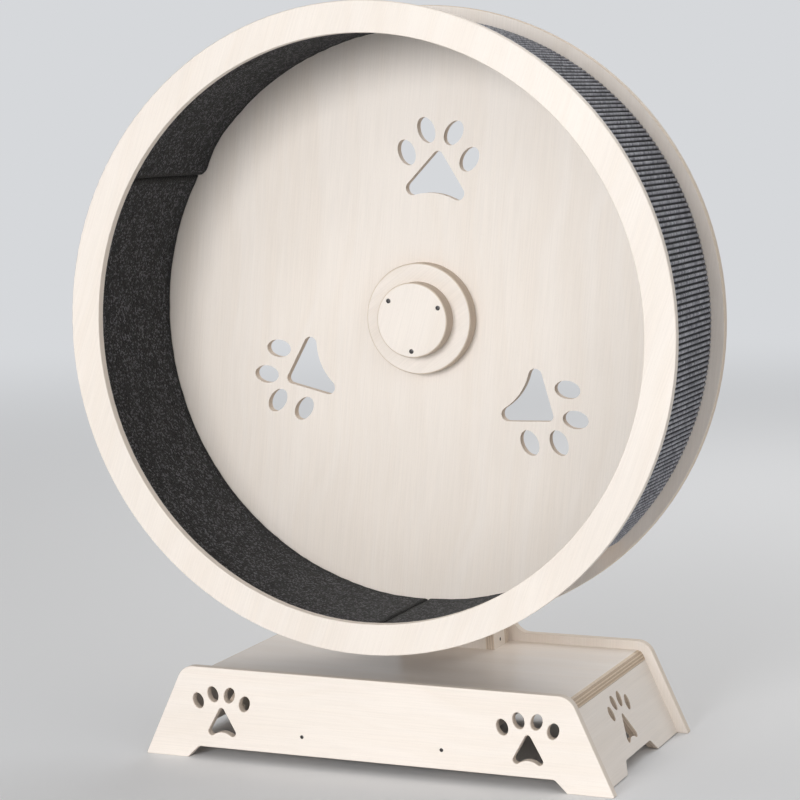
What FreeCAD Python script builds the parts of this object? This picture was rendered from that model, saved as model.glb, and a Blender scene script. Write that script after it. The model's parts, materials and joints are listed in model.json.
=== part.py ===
import FreeCAD, Part
import math
import os

from FreeCAD import Placement, Rotation, Vector

# Cat exercise wheel, in millimetres. +X is to the right and +Y is from the open front to the
# back, both as someone facing the open side sees it, and +Z is up. The origin lies on the
# floor, in the middle of the whole object's length and depth.

# Sheet stock and fits
ply = 15.0                      # thickness of every flat board
pin_gap = 0.1                   # radial room of a screw, dowel or shaft in its hole
glue_gap = 0.3                  # room for glue between curved skins
edge_round = 1.5                # softened edges of the boards
socket_width_share = 0.54       # of a screw head's diameter
socket_depth_share = 0.6        # of its height

# Wheel
wheel_diameter = 1000.0
wheel_depth = 280.0             # front face of the ring to rear face of the disc
rim_overhang = 19.3             # ring and disc stand this far outside the grip mat
mat_thickness = 5.7
drum_thickness = 5.0            # bent plywood
liner_thickness = 5.7           # carpet
ring_lip = 12.2                 # the ring stands this far inside the carpet
groove_depth = 5.5              # groove in ring and disc that takes the bent plywood
groove_end_gap = 0.5
groove_side_gap = 0.1
panel_count = 3
first_joint_angle = 30.0        # degrees from +X towards +Z
panel_joint_gap = 1.0           # between neighbouring drum panels
liner_joint_gap = 1.6           # between neighbouring carpet lengths
skin_end_gap = 0.2              # carpet and mat to ring and disc
mat_joint_angle = -50.0
mat_joint_gap = 50.0            # the mat's two ends leave the drum bare between them

# Paw-shaped cut-outs in the disc
disc_paw_count = 3
disc_paw_angle = 83.8           # where the wheel happens to stand at rest
disc_paw_radius = 270.0         # axle to the tip of the pad
disc_toe_length = 43.2
disc_toe_width = 29.2
disc_toe_tilt = 28.5
disc_outer_toe_x = 54.3
disc_outer_toe_z = -8.0
disc_inner_toe_x = 23.7
disc_inner_toe_z = 31.0
disc_pad_height = 75.5
disc_pad_width = 101.4
disc_pad_corner = 11.5
disc_pad_tip = 9.0
disc_pad_hollow = 7.6

# Paw-shaped cut-outs in the base
base_paw_inset = 137.9          # end of the board on the floor to the middle of the pad
base_paw_z = 85.0               # floor to the tip of the pad
end_paw_rise = 81.0             # the same, measured up the sloping end board
base_toe_length = 26.0
base_toe_width = 18.4
base_toe_tilt = 18.0
base_outer_toe_x = 41.0
base_outer_toe_z = 9.5
base_inner_toe_x = 14.6
base_inner_toe_z = 21.6
base_pad_height = 45.5
base_pad_width = 48.6
base_pad_corner = 6.0
base_pad_tip = 5.0
base_pad_hollow = 6.0

# Hub
hub_flange_diameter = 180.0
hub_flange_thickness = 26.0
hub_cap_diameter = 121.0
hub_cap_wall = 6.0              # wood in front of the axle nut's pocket
nut_pocket_gap = 3.0            # between the axle's end and that wall
hub_bore = 40.0                 # clears the inner rings and the spacer
hub_edge_round = 3.0            # outer edges of the hub's wooden discs
cap_screw_circle = 100.0
cap_screw_turns = (-59.5, 58.5, 185.0)    # degrees from the first paw
cap_screw_head = 7.6
cap_screw_head_height = 2.2
cap_screw_proud = 0.5
cap_screw_shank = 4.0
cap_screw_length = 40.0
hub_bolt_count = 6
hub_bolt_circle = 148.0
hub_bolt_shank = 6.0
hub_bolt_head = 11.0
hub_bolt_head_height = 3.5
hub_insert_diameter = 10.0
hub_insert_length = 15.0
hub_bolt_tip_gap = 1.0

# Ball bearings, one in each wooden hub disc
bearing_bore = 25.0
bearing_outside = 52.0
bearing_width = 15.0
bearing_inner_land = 31.2       # outside diameter of the inner ring
bearing_outer_land = 45.8       # inside diameter of the outer ring
ball_diameter = 7.94
ball_count = 9
ball_gap = 0.3
cage_width = 10.6
cage_thickness = 3.3
seal_thickness = 1.0
seal_inset = 0.5
seal_lip_gap = 0.5

# Axle and what is clamped on it
axle_thread = 24.0
axle_step = 1.0                 # the thread starts this far inside the clamped stack
spacer_wall = 2.6
sleeve_wall = 2.4
post_tube_wall = 5.0
front_washer_thickness = 3.0
front_washer_diameter = 30.6
nut_across_flats = 36.0
nut_height = 12.0
front_axle_end = 4.0            # thread showing past the front nut
rear_washer_thickness = 3.0
rear_washer_diameter = 56.0
rear_axle_end = 5.0             # thread showing past the rear nut
axle_chamfer = 1.0
flange_plate_diameter = 80.0
flange_plate_thickness = 5.0
flange_screw_count = 4
flange_screw_circle = 60.0
flange_screw_shank = 4.0
flange_screw_head = 8.0
flange_screw_head_height = 2.5
flange_screw_length = 14.0

# Base
base_length = 795.0             # on the floor
base_height = 150.0
base_setback = 16.5             # the base front stands this far behind the ring's face
side_slope = 25.0               # degrees, the ends lean inwards
base_corner = 30.0
foot_corner = 2.0
foot_width = 75.5
arch_height = 19.5
arch_run = 20.0                 # length of the arch's sloping ends
arch_corner = 10.0
deck_drop = 15.0                # deck surface below the boards' top edge
wheel_clearance = 59.5          # deck to the wheel's rim
end_inset = 18.0                # end boards inside the front board's slope, level
deck_end_round = 14.0           # upper edge of the deck's sloping ends
deck_joint_gap = 0.8            # shadow line between the deck and the end boards under it
end_foot_width = 108.0
end_foot_lift = 2.0             # end boards stop short of the floor
stretcher_x = 118.5
stretcher_height = 90.0
stretcher_screw_z = 50.0
stretcher_screw_head = 6.0
stretcher_screw_head_height = 1.6
stretcher_screw_shank = 3.5
stretcher_screw_length = 40.0
dowel_diameter = 8.0
dowel_length = 29.0
dowel_in_board = 10.0           # depth in the front or rear board
dowel_end_gap = 0.5
deck_dowel_x = (75.0, 195.0)
end_dowel_rise = (45.0, 112.0)  # up the sloping end board

# Post between the base and the axle, and the rear board's column
post_gap = 60.0                 # wheel disc to post
post_depth = 50.0               # side panels, front to back
post_foot_width = 172.0         # at the deck
packer_thickness = 10.0
packer_inset = 7.0              # each side narrower than the post
column_foot_width = 184.0       # at the base's top edge
column_axle_width = 120.0       # level with the axle
column_rise = 65.0              # above the axle
column_corner = 30.0
column_fillet = 30.0
post_rise = 50.0                # post top above the axle
foot_block_height = 25.0
post_screw_z = 12.0             # above the deck
post_screw_y = 30.0             # behind the post's front
post_screw_head = 6.0
post_screw_head_height = 1.6
post_screw_shank = 3.5
post_screw_length = 32.0
block_screw_x = 40.0
block_screw_inset = 9.0         # from the post's front and back panels
block_screw_length = 34.0
block_screw_head = 8.0
block_screw_head_height = 2.5
block_screw_shank = 4.0
column_bolt_x = 32.0
column_bolt_below_axle = (150.0, 400.0)
column_bolt_shank = 8.0
column_bolt_head = 14.0
column_bolt_head_height = 4.5
column_bolt_tip = 3.0           # thread showing past the nut
column_nut_flats = 13.0
column_nut_height = 6.5

# Radii of the drum, from the outside in
wheel_radius = wheel_diameter / 2
mat_outer = wheel_radius - rim_overhang
mat_inner = mat_outer - mat_thickness
drum_outer = mat_inner - glue_gap
drum_inner = drum_outer - drum_thickness
liner_outer = drum_inner - glue_gap
liner_inner = liner_outer - liner_thickness
ring_inner = liner_inner - ring_lip

# Heights
deck_height = base_height - deck_drop
deck_underside = deck_height - ply
axle_height = deck_height + wheel_clearance + wheel_radius
post_top = axle_height + post_rise
column_top = axle_height + column_rise

# Depths, first from the ring's front face and then in the part's own frame
overall_depth = (wheel_depth + post_gap + post_depth + ply + packer_thickness + ply
                 + rear_washer_thickness + nut_height + rear_axle_end)
ring_front = -overall_depth / 2
ring_rear = ring_front + ply
disc_rear = ring_front + wheel_depth
disc_front = disc_rear - ply
hub_flange_front = disc_front - hub_flange_thickness
hub_cap_thickness = (hub_cap_wall + nut_pocket_gap + front_axle_end + nut_height
                     + front_washer_thickness)
hub_cap_front = hub_flange_front - hub_cap_thickness
hub_plate_rear = disc_rear + hub_flange_thickness
post_front = disc_rear + post_gap
post_inner_front = post_front + ply
post_back_front = post_front + post_depth
packer_front = post_back_front + ply
rear_board_front = packer_front + packer_thickness
rear_board_rear = rear_board_front + ply
front_board_front = ring_front + base_setback
front_board_rear = front_board_front + ply
base_middle_y = (front_board_rear + rear_board_front) / 2
axle_rear = rear_board_rear + rear_washer_thickness + nut_height + rear_axle_end
front_washer_front = hub_flange_front - front_washer_thickness
front_nut_front = front_washer_front - nut_height
axle_front = front_nut_front - front_axle_end
front_bearing_rear = hub_flange_front + bearing_width
rear_bearing_front = hub_plate_rear - bearing_width
flange_plate_front = post_front - flange_plate_thickness

# Base outline, half of its length at three heights
slope_run = math.tan(math.radians(side_slope))
half_floor = base_length / 2
base_paw_x = half_floor - base_paw_inset
half_top = half_floor - base_height * slope_run
end_board_top = deck_underside - deck_joint_gap
end_board_run = ply / math.cos(math.radians(side_slope))    # its thickness, level
column_taper = (column_foot_width - column_axle_width) / 2 / (axle_height - base_height)

across = Vector(1, 0, 0)
rearward = Vector(0, 1, 0)
up = Vector(0, 0, 1)


def save(shape, node):
    shape.exportStep(os.path.join("parts", node + ".step"))


def group(solids):
    return Part.makeCompound(solids)


def rod(diameter, y_start, y_end, x=0.0, z=axle_height):
    return Part.makeCylinder(diameter / 2, y_end - y_start, Vector(x, y_start, z), rearward)


def tube(outside, inside, y_start, y_end):
    return rod(outside, y_start, y_end).cut(rod(inside, y_start, y_end))


def on_circle(circle_diameter, angle):
    turn = math.radians(angle)
    radius = circle_diameter / 2
    return radius * math.cos(turn), axle_height + radius * math.sin(turn)


def turned_about_axle(shape, angle):
    # Angles run from +X towards +Z, which is a negative turn about +Y.
    copy = shape.copy()
    copy.rotate(Vector(0, 0, axle_height), rearward, -angle)
    return copy


def curved_panel(outer, inner, y_start, y_end, start_angle, sweep):
    section = Part.makePolygon([
        Vector(inner, y_start, axle_height), Vector(outer, y_start, axle_height),
        Vector(outer, y_end, axle_height), Vector(inner, y_end, axle_height),
        Vector(inner, y_start, axle_height)])
    panel = Part.Face(section).revolve(Vector(0, 0, axle_height), -rearward, sweep)
    return turned_about_axle(panel, start_angle)


def rounded_outline(corners):
    # A closed wire in the XZ plane from (x, z, corner radius) triples.
    arcs, entries, exits = [], [], []
    for i, (x, z, radius) in enumerate(corners):
        corner = Vector(x, 0, z)
        before = corners[i - 1]
        after = corners[(i + 1) % len(corners)]
        to_before = (Vector(before[0], 0, before[1]) - corner).normalize()
        to_after = (Vector(after[0], 0, after[1]) - corner).normalize()
        half_angle = to_before.getAngle(to_after) / 2
        reach = radius / math.tan(half_angle)
        entries.append(corner + to_before * reach)
        exits.append(corner + to_after * reach)
        inward = (to_before + to_after).normalize()
        middle = corner + inward * (radius / math.sin(half_angle) - radius)
        arcs.append(middle if radius > 0 else None)
    edges = []
    for i, middle in enumerate(arcs):
        if middle is not None:
            edges.append(Part.Arc(entries[i], middle, exits[i]).toShape())
        edges.append(Part.LineSegment(exits[i], entries[(i + 1) % len(arcs)]).toShape())
    return Part.Wire(edges)


def board(outline, y_start, y_end):
    face = Part.Face(outline)
    face.translate(Vector(0, y_start, 0))
    return face.extrude(Vector(0, y_end - y_start, 0))


def mirrored(corners):
    # The right half's corners, bottom first, followed by their mirror images.
    return corners + [(-x, z, radius) for x, z, radius in reversed(corners)]


def flat_rims(shape, depths):
    # The edges that lie flat at one of the given depths.
    return [edge for edge in shape.Edges if edge.BoundBox.YLength < 1e-4
            and min(abs(edge.BoundBox.Center.y - y) for y in depths) < 1e-4]


def eased(shape, depths, radius=edge_round):
    return shape.makeFillet(radius, flat_rims(shape, depths))


def hex_prism(across_flats, start, axis_height):
    # Along +Y, with two flats level.
    radius = across_flats / math.sqrt(3)
    corners = [(start.x + radius * math.cos(math.radians(60 * i)),
                start.z + radius * math.sin(math.radians(60 * i)), 0) for i in range(6)]
    return board(rounded_outline(corners), start.y, start.y + axis_height)


def nut(across_flats, height, bore, x, y, z):
    body = hex_prism(across_flats, Vector(x, y, z), height)
    return body.cut(rod(bore, y, y + height, x, z))


def screw(tip_way, seat, head, head_height, shank, length, pointed=True):
    # The head stands on the seat and the shank runs the given way from it.
    top = seat - tip_way * head_height
    body = Part.makeCylinder(head / 2, head_height, top, tip_way)
    point = shank if pointed else 0.0
    body = body.fuse(Part.makeCylinder(shank / 2, length - point, seat, tip_way))
    if pointed:
        body = body.fuse(Part.makeCone(shank / 2, 0, point, seat + tip_way * (length - point),
                                       tip_way))
    return body.cut(Part.makeCylinder(socket_width_share * head / 2,
                                      socket_depth_share * head_height, top, tip_way))


def screw_hole(tip_way, seat, head, head_height, shank, length):
    sink = Part.makeCylinder(head / 2 + pin_gap, head_height, seat - tip_way * head_height,
                             tip_way)
    return sink.fuse(Part.makeCylinder(shank / 2 + pin_gap, length + pin_gap, seat, tip_way))


def pad_outline(height, width, corner, tip, hollow):
    # A rounded triangle with its tip at the origin and a hollow lower side.
    corner_middle = Vector(width / 2 - corner, 0, corner - height)
    tip_middle = Vector(0, 0, -tip)
    between = corner_middle - tip_middle
    along = Vector(between).normalize()
    outward = Vector(-along.z, 0, along.x)
    share = (tip - corner) / between.Length
    normal = along * share + outward * math.sqrt(1 - share ** 2)
    half_span = corner_middle.x
    hollow_radius = (half_span ** 2 + (corner - hollow) ** 2 - corner ** 2) / (2 * hollow)
    hollow_middle = Vector(0, 0, hollow - height - hollow_radius)
    to_hollow = (hollow_middle - corner_middle).normalize()
    right = [tip_middle + normal * tip, corner_middle + normal * corner,
             corner_middle + (normal + to_hollow).normalize() * corner,
             corner_middle + to_hollow * corner]
    left = [Vector(-p.x, 0, p.z) for p in right]
    return Part.Wire([
        Part.Arc(left[0], Vector(0, 0, 0), right[0]).toShape(),
        Part.LineSegment(right[0], right[1]).toShape(),
        Part.Arc(right[1], right[2], right[3]).toShape(),
        Part.Arc(right[3], Vector(0, 0, hollow - height), left[3]).toShape(),
        Part.Arc(left[3], left[2], left[1]).toShape(),
        Part.LineSegment(left[1], left[0]).toShape()])


def toe_outline(x, z, length, width, tilt):
    lean = math.radians(tilt) * (1 if x > 0 else -1)
    middle = Vector(x, 0, z)
    long_end = middle + Vector(math.sin(lean), 0, math.cos(lean)) * (length / 2)
    short_end = middle + Vector(math.cos(lean), 0, -math.sin(lean)) * (width / 2)
    return Part.Wire([Part.Ellipse(long_end, short_end, middle).toShape()])


def paw_cutters(pad, toe_places, toe_length, toe_width, toe_tilt):
    # A pad and two pairs of toes that cut through a board whose middle plane is y = 0.
    outlines = [pad] + [toe_outline(side * x, z, toe_length, toe_width, toe_tilt)
                        for side in (-1, 1) for x, z in toe_places]
    return [board(outline, -ply, ply) for outline in outlines]


def disc_paw():
    pad = pad_outline(disc_pad_height, disc_pad_width, disc_pad_corner, disc_pad_tip,
                      disc_pad_hollow)
    toes = [(disc_outer_toe_x, disc_outer_toe_z), (disc_inner_toe_x, disc_inner_toe_z)]
    return paw_cutters(pad, toes, disc_toe_length, disc_toe_width, disc_toe_tilt)


def base_paw():
    pad = pad_outline(base_pad_height, base_pad_width, base_pad_corner, base_pad_tip,
                      base_pad_hollow)
    toes = [(base_outer_toe_x, base_outer_toe_z), (base_inner_toe_x, base_inner_toe_z)]
    return paw_cutters(pad, toes, base_toe_length, base_toe_width, base_toe_tilt)


def carried(solids, placement):
    copies = [solid.copy() for solid in solids]
    for copy in copies:
        copy.Placement = placement.multiply(copy.Placement)
    return copies


# Wheel: ring, disc, bent panels and their skins

def groove(y_start, y_end):
    return tube(2 * (drum_outer + groove_side_gap), 2 * (drum_inner - groove_side_gap),
                y_start, y_end)


def make_front_ring():
    ring = tube(wheel_diameter, 2 * ring_inner, ring_front, ring_rear)
    ring = eased(ring, (ring_front, ring_rear))
    return ring.cut(groove(ring_rear - groove_depth, ring_rear))


def hub_bolt_places():
    step = 360 / hub_bolt_count
    return [on_circle(hub_bolt_circle, disc_paw_angle + step / 2 + i * step)
            for i in range(hub_bolt_count)]


def hub_holes(y_start, y_end):
    holes = [rod(hub_bore, y_start, y_end)]
    for x, z in hub_bolt_places():
        holes.append(rod(hub_bolt_shank + 2 * pin_gap, y_start, y_end, x, z))
    return holes


def make_back_disc():
    disc = eased(rod(wheel_diameter, disc_front, disc_rear), (disc_front, disc_rear))
    cuts = hub_holes(disc_front, disc_rear)
    cuts.append(groove(disc_front, disc_front + groove_depth))
    first_paw = Placement(Vector(0, (disc_front + disc_rear) / 2, axle_height + disc_paw_radius),
                          Rotation())
    for i in range(disc_paw_count):
        angle = disc_paw_angle - 90 + i * 360 / disc_paw_count
        cuts += [turned_about_axle(cut, angle) for cut in carried(disc_paw(), first_paw)]
    return disc.cut(cuts)


def ring_of_panels(outer, inner, y_start, y_end, count, first_angle, gap):
    # One panel for each space between neighbouring joints, from the first joint on.
    gap_angle = math.degrees(gap / outer)
    step = 360 / count
    return [curved_panel(outer, inner, y_start, y_end, first_angle + i * step + gap_angle / 2,
                         step - gap_angle) for i in range(count)]


def panel_names(base_name):
    places = ("top", "left", "right")
    return [base_name + "_" + (places[i] if panel_count == 3 else str(i + 1))
            for i in range(panel_count)]


def save_drum():
    panels = ring_of_panels(drum_outer, drum_inner, ring_rear - groove_depth + groove_end_gap,
                            disc_front + groove_depth - groove_end_gap, panel_count,
                            first_joint_angle, panel_joint_gap)
    liners = ring_of_panels(liner_outer, liner_inner, ring_rear + skin_end_gap,
                            disc_front - skin_end_gap, panel_count, first_joint_angle,
                            liner_joint_gap)
    for node, panel in zip(panel_names("drum_panel"), panels):
        save(panel, node)
    for node, liner in zip(panel_names("running_liner"), liners):
        save(liner, node)
    mat = ring_of_panels(mat_outer, mat_inner, ring_rear + skin_end_gap,
                         disc_front - skin_end_gap, 1, mat_joint_angle, mat_joint_gap)
    save(mat[0], "outer_grip_mat")


# Hub: two wooden discs either side of the wheel's disc, and a cap over the axle nut

def cap_screw_places():
    return [on_circle(cap_screw_circle, disc_paw_angle + turn) for turn in cap_screw_turns]


def cap_screw_seat(place):
    return Vector(place[0], hub_cap_front + cap_screw_head_height - cap_screw_proud, place[1])


def cap_screw_holes():
    return [screw_hole(rearward, cap_screw_seat(place), cap_screw_head, cap_screw_head_height,
                       cap_screw_shank, cap_screw_length) for place in cap_screw_places()]


def insert_holes():
    start = disc_front - hub_insert_length - hub_bolt_tip_gap
    return [rod(hub_insert_diameter + 2 * pin_gap, start, disc_front, x, z)
            for x, z in hub_bolt_places()]


def bearing_pocket(y_start, y_end):
    return rod(bearing_outside + 2 * pin_gap, y_start, y_end)


def make_hub_flange():
    flange = rod(hub_flange_diameter, hub_flange_front, disc_front)
    flange = eased(flange, (hub_flange_front,), hub_edge_round)
    cuts = [rod(hub_bore, hub_flange_front, disc_front),
            bearing_pocket(hub_flange_front, front_bearing_rear)]
    return flange.cut(cuts + insert_holes() + cap_screw_holes())


def make_hub_cap():
    cap = eased(rod(hub_cap_diameter, hub_cap_front, hub_flange_front), (hub_cap_front,),
                hub_edge_round)
    pocket = bearing_pocket(hub_cap_front + hub_cap_wall, hub_flange_front)
    return cap.cut([pocket] + cap_screw_holes())


def make_hub_rear_plate():
    plate = eased(rod(hub_flange_diameter, disc_rear, hub_plate_rear), (hub_plate_rear,),
                  hub_edge_round)
    cuts = hub_holes(disc_rear, hub_plate_rear)
    return plate.cut(cuts + [bearing_pocket(rear_bearing_front, hub_plate_rear)])


def save_hub_fasteners():
    save(group([screw(rearward, cap_screw_seat(place), cap_screw_head, cap_screw_head_height,
                      cap_screw_shank, cap_screw_length) for place in cap_screw_places()]),
         "hub_cap_screws")
    insert_front = disc_front - hub_insert_length
    bolt_length = hub_plate_rear - insert_front
    bolts, inserts = [], []
    for x, z in hub_bolt_places():
        bolts.append(screw(-rearward, Vector(x, hub_plate_rear, z), hub_bolt_head,
                           hub_bolt_head_height, hub_bolt_shank, bolt_length, pointed=False))
        insert = rod(hub_insert_diameter, insert_front, disc_front, x, z)
        inserts.append(insert.cut(rod(hub_bolt_shank + 2 * pin_gap, insert_front, disc_front,
                                      x, z)))
    save(group(bolts), "hub_bolts")
    save(group(inserts), "hub_insert_nuts")


# Ball bearings: rings, balls in a cage, and a seal on each side

def save_bearing(node, y_start):
    middle = y_start + bearing_width / 2
    y_end = y_start + bearing_width
    pitch_radius = (bearing_inner_land + bearing_outer_land) / 4
    track_radius = ball_diameter / 2 + ball_gap
    track = Part.makeTorus(pitch_radius, track_radius, Vector(0, middle, axle_height), rearward)
    inner_ring = tube(bearing_inner_land, bearing_bore + 2 * pin_gap, y_start, y_end).cut(track)
    outer_ring = tube(bearing_outside, bearing_outer_land, y_start, y_end).cut(track)
    hub_centre = Vector(0, middle, axle_height)
    balls, pockets = [], []
    for i in range(ball_count):
        x, z = on_circle(2 * pitch_radius, (i + 0.5) * 360 / ball_count)
        centre = Vector(x, middle, z)
        balls.append(Part.makeSphere(ball_diameter / 2, centre))
        pockets.append(Part.makeCylinder(track_radius, pitch_radius + cage_thickness,
                                         hub_centre, centre - hub_centre))
    cage = tube(2 * pitch_radius + cage_thickness, 2 * pitch_radius - cage_thickness,
                middle - cage_width / 2, middle + cage_width / 2).cut(pockets)
    seal_outside = bearing_outer_land - pin_gap
    seal_inside = bearing_inner_land + 2 * seal_lip_gap
    seals = [tube(seal_outside, seal_inside, y, y + seal_thickness)
             for y in (y_start + seal_inset, y_end - seal_inset - seal_thickness)]
    save(inner_ring, node + "_inner_ring")
    save(outer_ring, node + "_outer_ring")
    save(group(balls), node + "_balls")
    save(cage, node + "_cage")
    save(group(seals), node + "_seals")


# Axle and what is clamped on it

def make_axle():
    journal_start = hub_flange_front + axle_step
    journal_end = rear_board_rear - axle_step
    axle = rod(bearing_bore, journal_start, journal_end)
    axle = axle.fuse([rod(axle_thread, axle_front, journal_start),
                      rod(axle_thread, journal_end, axle_rear)])
    return axle.makeChamfer(axle_chamfer, flat_rims(axle, (axle_front, axle_rear)))


def sleeve_on_axle(wall, y_start, y_end):
    inside = bearing_bore + 2 * pin_gap
    return tube(inside + 2 * wall, inside, y_start, y_end)


def washer(outside, y_start, y_end):
    return tube(outside, axle_thread + 2 * pin_gap, y_start, y_end)


def axle_hole(y_start, y_end):
    return rod(bearing_bore + 2 * pin_gap, y_start, y_end)


def flange_screw_seats():
    step = 360 / flange_screw_count
    places = [on_circle(flange_screw_circle, step / 2 + i * step)
              for i in range(flange_screw_count)]
    return [Vector(x, flange_plate_front, z) for x, z in places]


def flange_screw_holes():
    return [screw_hole(rearward, seat, flange_screw_head, flange_screw_head_height,
                       flange_screw_shank, flange_screw_length)
            for seat in flange_screw_seats()]


def save_axle_parts():
    thread_hole = axle_thread + 2 * pin_gap
    save(make_axle(), "axle")
    save(washer(front_washer_diameter, front_washer_front, hub_flange_front),
         "axle_front_washer")
    save(nut(nut_across_flats, nut_height, thread_hole, 0, front_nut_front, axle_height),
         "axle_front_nut")
    save(sleeve_on_axle(spacer_wall, front_bearing_rear, rear_bearing_front), "bearing_spacer")
    save(sleeve_on_axle(sleeve_wall, hub_plate_rear, flange_plate_front), "axle_sleeve")
    save(sleeve_on_axle(post_tube_wall, post_inner_front, post_back_front), "post_tube")
    plate = tube(flange_plate_diameter, bearing_bore + 2 * pin_gap, flange_plate_front, post_front)
    save(plate.cut(flange_screw_holes()), "axle_flange_plate")
    save(group([screw(rearward, seat, flange_screw_head, flange_screw_head_height,
                      flange_screw_shank, flange_screw_length)
                for seat in flange_screw_seats()]), "flange_plate_screws")
    rear_nut_front = rear_board_rear + rear_washer_thickness
    save(washer(rear_washer_diameter, rear_board_rear, rear_nut_front), "axle_rear_washer")
    save(nut(nut_across_flats, nut_height, thread_hole, 0, rear_nut_front, axle_height),
         "axle_rear_nut")


# Base: front and rear boards, sloping end boards, deck and stretchers

def arch_corners(half_length):
    return [(half_length, 0, foot_corner), (half_length - arch_run, arch_height, arch_corner)]


def base_outline_right():
    return arch_corners(half_floor - foot_width)[::-1] + [
        (half_floor, 0, foot_corner), (half_top, base_height, base_corner)]


def end_frame(side):
    # The board's own plane: x along the base, y through its thickness, z up the slope.
    # The origin is on the floor, in the middle of the board's length and thickness.
    lean = Rotation(rearward, -side * side_slope).multiply(Rotation(up, 90))
    foot_x = half_floor - end_inset - end_board_run / 2
    return Placement(Vector(side * foot_x, base_middle_y, 0), lean)


def dowel_starts(board_face, way):
    # Bottoms of the holes in the front or rear board, for the deck and both end boards.
    crossings = [Vector(side * x, board_face, deck_height - ply / 2)
                 for side in (-1, 1) for x in deck_dowel_x]
    for side in (-1, 1):
        frame = end_frame(side)
        crossings += [frame.multVec(Vector(board_face - base_middle_y, 0, rise))
                      for rise in end_dowel_rise]
    return [crossing - way * dowel_in_board for crossing in crossings]


def dowels(board_face, way):
    return [Part.makeCylinder(dowel_diameter / 2, dowel_length, start, way)
            for start in dowel_starts(board_face, way)]


def dowel_holes(board_face, way):
    return [Part.makeCylinder(dowel_diameter / 2 + pin_gap, dowel_length + 2 * dowel_end_gap,
                              start - way * dowel_end_gap, way)
            for start in dowel_starts(board_face, way)]


def stretcher_screw_seats(face, way):
    return [Vector(side * stretcher_x, face, stretcher_screw_z)
            + way * stretcher_screw_head_height for side in (-1, 1)]


def stretcher_screws(face, way):
    return [screw(way, seat, stretcher_screw_head, stretcher_screw_head_height,
                  stretcher_screw_shank, stretcher_screw_length)
            for seat in stretcher_screw_seats(face, way)]


def stretcher_screw_holes(face, way):
    return [screw_hole(way, seat, stretcher_screw_head, stretcher_screw_head_height,
                       stretcher_screw_shank, stretcher_screw_length)
            for seat in stretcher_screw_seats(face, way)]


def make_front_board():
    outline = rounded_outline(mirrored(base_outline_right()))
    front = board(outline, front_board_front, front_board_rear)
    middle_y = (front_board_front + front_board_rear) / 2
    cuts = []
    for side in (-1, 1):
        place = Placement(Vector(side * base_paw_x, middle_y, base_paw_z), Rotation())
        cuts += carried(base_paw(), place)
    front = eased(front.cut(cuts), (front_board_front, front_board_rear))
    return front.cut(stretcher_screw_holes(front_board_front, rearward)
                     + dowel_holes(front_board_rear, rearward))


def column_half_width(z):
    return column_foot_width / 2 - (z - base_height) * column_taper


def column_bolt_places():
    return [(side * column_bolt_x, axle_height - drop)
            for side in (-1, 1) for drop in column_bolt_below_axle]


def column_bolt_holes(y_start, y_end):
    return [rod(column_bolt_shank + 2 * pin_gap, y_start, y_end, x, z)
            for x, z in column_bolt_places()]


def make_rear_board():
    column = [(column_half_width(base_height), base_height, column_fillet),
              (column_half_width(column_top), column_top, column_corner)]
    outline = rounded_outline(mirrored(base_outline_right() + column))
    rear = eased(board(outline, rear_board_front, rear_board_rear),
                 (rear_board_front, rear_board_rear))
    return rear.cut(stretcher_screw_holes(rear_board_rear, -rearward)
                    + dowel_holes(rear_board_front, -rearward)
                    + column_bolt_holes(rear_board_front, rear_board_rear)
                    + [axle_hole(rear_board_front, rear_board_rear)])


def end_half_width(z):
    # From the middle to the plane that the deck's ends and the end boards' outer faces lie in.
    return half_floor - z * slope_run - end_inset


def make_deck():
    right = [(end_half_width(deck_underside), deck_underside, 0),
             (end_half_width(deck_height), deck_height, deck_end_round)]
    deck = board(rounded_outline(mirrored(right)), front_board_rear, rear_board_front)
    return deck.cut(dowel_holes(front_board_rear, rearward)
                    + dowel_holes(rear_board_front, -rearward) + block_screw_holes())


def arch_cutter(half_length):
    corners = [(half_length - arch_run, arch_height, arch_corner), (half_length, 0, 0),
               (half_length, -ply, 0)]
    arch = board(rounded_outline(mirrored(corners)), 0, half_floor)
    arch.Placement = Placement(Vector(0, base_middle_y, 0), Rotation(up, -90))
    return arch


def make_end_board(side):
    foot_x = end_half_width(end_foot_lift)
    top_x = end_half_width(end_board_top)
    outline = [(foot_x - end_board_run, end_foot_lift, 0), (foot_x, end_foot_lift, 0),
               (top_x, end_board_top, 0), (top_x - end_board_run, end_board_top, 0)]
    end = board(rounded_outline(outline), front_board_rear, rear_board_front)
    arch_half = (rear_board_front - front_board_rear) / 2 - end_foot_width
    end = end.cut(arch_cutter(arch_half))
    if side < 0:
        end = end.mirror(Vector(0, 0, 0), across)
    paw_place = end_frame(side).multiply(Placement(Vector(0, 0, end_paw_rise), Rotation()))
    return end.cut(carried(base_paw(), paw_place) + dowel_holes(front_board_rear, rearward)
                   + dowel_holes(rear_board_front, -rearward))


def make_stretcher(side):
    corners = [(side * stretcher_x - ply / 2, deck_underside - stretcher_height, 0),
               (side * stretcher_x + ply / 2, deck_underside - stretcher_height, 0),
               (side * stretcher_x + ply / 2, deck_underside, 0),
               (side * stretcher_x - ply / 2, deck_underside, 0)]
    stretcher = board(rounded_outline(corners), front_board_rear, rear_board_front)
    return stretcher.cut(stretcher_screw_holes(front_board_front, rearward)
                         + stretcher_screw_holes(rear_board_rear, -rearward))


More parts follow.
